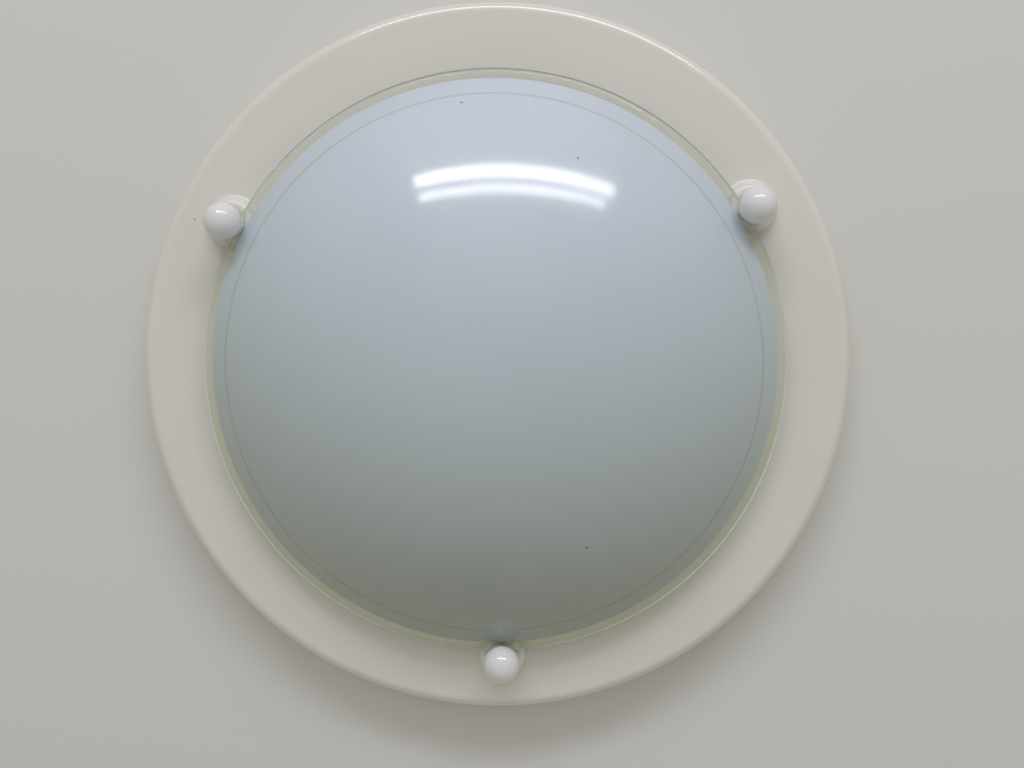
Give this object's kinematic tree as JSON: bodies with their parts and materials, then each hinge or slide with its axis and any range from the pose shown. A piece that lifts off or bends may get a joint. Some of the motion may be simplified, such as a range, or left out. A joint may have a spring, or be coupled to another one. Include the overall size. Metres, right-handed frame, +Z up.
{
  "type": "flush mount ceiling light",
  "caption": "Round flush mount ceiling light: wide white pan, shallow frosted glass dome held by ball knobs on threaded studs, lampholders and lamps inside.",
  "frame": {"origin": "centre of the crossbar's outlet-box slots, in the ceiling plane", "axes": "+Z up into the ceiling, the light hangs below z = 0; one stud lies at -Y; X runs along the crossbar and from lamp to lamp"},
  "size_m": [0.4064, 0.4064, 0.105],
  "materials": {
    "pan_enamel": "warm white baked enamel, semi-gloss",
    "shade_glass": "clear slumped glass, frosted inside but for its edge and one thin ring",
    "knob_enamel": "gloss white",
    "zinc_steel": "zinc plated",
    "brass": "plain",
    "green_screw": "green earth screw",
    "clear_rubber": "pale soft rubber",
    "white_nylon": "nylon",
    "black_plastic": "nylon",
    "glass_fibre": "glass-fibre mat",
    "porcelain": "glazed porcelain",
    "bulb_glass": "inside frosted",
    "lamp_cap": "rolled screw cap",
    "black_glass": "vitrite",
    "black_lead": "insulated wire",
    "white_lead": "insulated wire"
  },
  "bodies": {
    "root": {"pan": "pan_enamel", "crossbar": "zinc_steel", "wire_bushing": "black_plastic", "insulation_pad": "glass_fibre", "pan_screws": "zinc_steel", "ground_screw": "green_screw", "bracket_screws": "zinc_steel", "socket_screws": "zinc_steel", "stud_1": "zinc_steel", "rim_cushion_1": "clear_rubber", "stud_2": "zinc_steel", "rim_cushion_2": "clear_rubber", "stud_3": "zinc_steel", "rim_cushion_3": "clear_rubber", "socket_bracket_a": "zinc_steel", "socket_body_a": "porcelain", "socket_shell_a": "brass", "socket_contact_a": "brass", "lead_a_live": "black_lead", "lead_a_neutral": "white_lead", "socket_bracket_b": "zinc_steel", "socket_body_b": "porcelain", "socket_shell_b": "brass", "socket_contact_b": "brass", "lead_b_live": "black_lead", "lead_b_neutral": "white_lead"},
    "shade": {"glass_shade": "shade_glass"},
    "washer_1": {"knob_washer_1": "white_nylon"},
    "knob_1": {"knob_1": "knob_enamel", "knob_insert_1": "brass"},
    "washer_2": {"knob_washer_2": "white_nylon"},
    "knob_2": {"knob_2": "knob_enamel", "knob_insert_2": "brass"},
    "washer_3": {"knob_washer_3": "white_nylon"},
    "knob_3": {"knob_3": "knob_enamel", "knob_insert_3": "brass"},
    "lamp_a": {"lamp_envelope_a": "bulb_glass", "lamp_base_a": "lamp_cap", "lamp_insulator_a": "black_glass", "lamp_tip_a": "brass"},
    "lamp_b": {"lamp_envelope_b": "bulb_glass", "lamp_base_b": "lamp_cap", "lamp_insulator_b": "black_glass", "lamp_tip_b": "brass"}
  },
  "joints": [
    {"name": "shade_removal", "type": "slide", "parent": "root", "child": "shade", "axis": [0, 0, -1], "range_m": [0, 0.12]},
    {"name": "knob_1_travel", "type": "slide", "parent": "shade", "child": "washer_1", "axis": [0, 0, -1], "range_m": [0, 0.0103]},
    {"name": "knob_1_turn", "type": "hinge", "parent": "washer_1", "child": "knob_1", "pos_m": [0, -0.1677, -0.05], "axis": [0, 0, -1], "range_deg": [0, 4680]},
    {"name": "knob_2_travel", "type": "slide", "parent": "shade", "child": "washer_2", "axis": [0, 0, -1], "range_m": [0, 0.0103]},
    {"name": "knob_2_turn", "type": "hinge", "parent": "washer_2", "child": "knob_2", "pos_m": [0.14523, 0.08385, -0.05], "axis": [0, 0, -1], "range_deg": [0, 4680]},
    {"name": "knob_3_travel", "type": "slide", "parent": "shade", "child": "washer_3", "axis": [0, 0, -1], "range_m": [0, 0.0103]},
    {"name": "knob_3_turn", "type": "hinge", "parent": "washer_3", "child": "knob_3", "pos_m": [-0.14523, 0.08385, -0.05], "axis": [0, 0, -1], "range_deg": [0, 4680]},
    {"name": "lamp_a_removal", "type": "slide", "parent": "root", "child": "lamp_a", "axis": [0, -1, 0], "range_m": [0, 0.022]},
    {"name": "lamp_b_removal", "type": "slide", "parent": "root", "child": "lamp_b", "axis": [0, -1, 0], "range_m": [0, 0.022]}
  ],
  "couplings": [
    {"joint": "knob_1_turn", "follows": "knob_1_travel", "rad_per_m": 7915.8},
    {"joint": "knob_2_turn", "follows": "knob_2_travel", "rad_per_m": 7915.8},
    {"joint": "knob_3_turn", "follows": "knob_3_travel", "rad_per_m": 7915.8}
  ]
}
